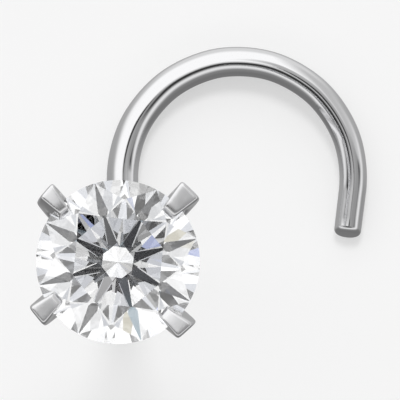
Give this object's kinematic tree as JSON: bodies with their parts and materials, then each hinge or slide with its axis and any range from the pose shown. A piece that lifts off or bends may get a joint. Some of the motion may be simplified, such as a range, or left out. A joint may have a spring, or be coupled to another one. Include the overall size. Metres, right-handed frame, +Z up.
{
  "type": "nose ring, nose screw stud",
  "caption": "Nose screw stud in polished white metal: a tapered wire bent to a flat open hook, a straight post and a round brilliant-cut clear stone held by claws.",
  "frame": {"origin": "centre of the footprint, on the surface that the hook lies on", "axes": "+Z up along the post from the hook to the stone; +Y along the hook's leg away from the post; +X from the leg towards the hook's tail"},
  "size_m": [0.0074, 0.0068, 0.0094],
  "materials": {
    "white_metal": "polished",
    "clear_stone": "polished"
  },
  "bodies": {
    "root": {"nose_screw": "white_metal", "stone": "clear_stone"}
  },
  "joints": []
}
